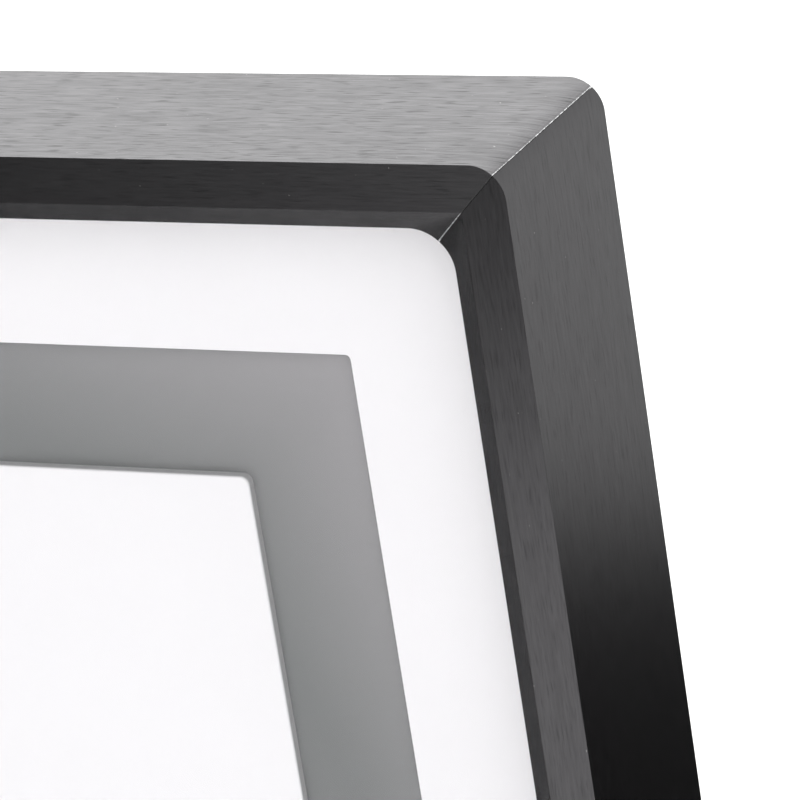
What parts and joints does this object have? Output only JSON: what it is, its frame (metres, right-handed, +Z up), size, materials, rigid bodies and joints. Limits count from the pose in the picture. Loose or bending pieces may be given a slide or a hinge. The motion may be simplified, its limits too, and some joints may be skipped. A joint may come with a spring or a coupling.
{
  "type": "floating frame",
  "caption": "Deep black brushed-aluminium frame with bevelled, round-cornered opening; a blank panel floats on a grey board inside a white window mat.",
  "frame": {"origin": "on the floor under the middle of the frame, half way through its depth, with the frame standing upright on its bottom rail", "axes": "+Z up; the artwork faces -Y and the wall side is +Y; +X is to the right seen from the front"},
  "size_m": [0.3066, 0.034, 0.4067],
  "materials": {
    "rail_black": "satin",
    "clear_glazing": "polished",
    "white_spacer": "matte",
    "white_mat": "matte",
    "white_panel": "matte",
    "white_foam": "matte",
    "grey_board": "matte",
    "rear_board": "matte",
    "zinc_steel": "satin",
    "ring_steel": "polished",
    "dark_steel": "satin",
    "spring_steel": "satin"
  },
  "bodies": {
    "frame": {"top_rail": "rail_black", "bottom_rail": "rail_black", "left_rail": "rail_black", "right_rail": "rail_black", "glazing": "clear_glazing", "top_spacer": "white_spacer", "bottom_spacer": "white_spacer", "left_spacer": "white_spacer", "right_spacer": "white_spacer", "window_mat": "white_mat", "artwork_panel": "white_panel", "float_riser": "white_foam", "float_board": "grey_board", "foam_board": "white_foam", "rear_board": "rear_board", "top_left_corner_key": "zinc_steel", "top_right_corner_key": "zinc_steel", "bottom_left_corner_key": "zinc_steel", "bottom_right_corner_key": "zinc_steel", "top_left_backing_angle": "zinc_steel", "top_right_backing_angle": "zinc_steel", "bottom_left_backing_angle": "zinc_steel", "bottom_right_backing_angle": "zinc_steel", "top_left_side_set_screw": "dark_steel", "top_left_end_set_screw": "dark_steel", "top_right_side_set_screw": "dark_steel", "top_right_end_set_screw": "dark_steel", "bottom_left_side_set_screw": "dark_steel", "bottom_left_end_set_screw": "dark_steel", "bottom_right_side_set_screw": "dark_steel", "bottom_right_end_set_screw": "dark_steel", "top_left_clip": "spring_steel", "top_right_clip": "spring_steel", "bottom_left_clip": "spring_steel", "bottom_right_clip": "spring_steel", "left_top_clip": "spring_steel", "left_bottom_clip": "spring_steel", "right_top_clip": "spring_steel", "right_bottom_clip": "spring_steel", "left_lower_slot_nut": "zinc_steel", "left_upper_slot_nut": "zinc_steel", "right_lower_slot_nut": "zinc_steel", "right_upper_slot_nut": "zinc_steel", "left_lower_hanger_screw": "zinc_steel", "left_upper_hanger_screw": "zinc_steel", "right_lower_hanger_screw": "zinc_steel", "right_upper_hanger_screw": "zinc_steel", "left_hanger_plate": "zinc_steel", "right_hanger_plate": "zinc_steel"},
    "left_ring": {"left_hanger_ring": "ring_steel"},
    "right_ring": {"right_hanger_ring": "ring_steel"}
  },
  "joints": [
    {"name": "left_ring_swing", "type": "hinge", "parent": "frame", "child": "left_ring", "pos_m": [-0.13535, 0.01155, 0.3107], "axis": [1, 0, 0], "range_deg": [0, 180]},
    {"name": "right_ring_swing", "type": "hinge", "parent": "frame", "child": "right_ring", "pos_m": [0.13535, 0.01155, 0.3107], "axis": [1, 0, 0], "range_deg": [0, 180]}
  ]
}
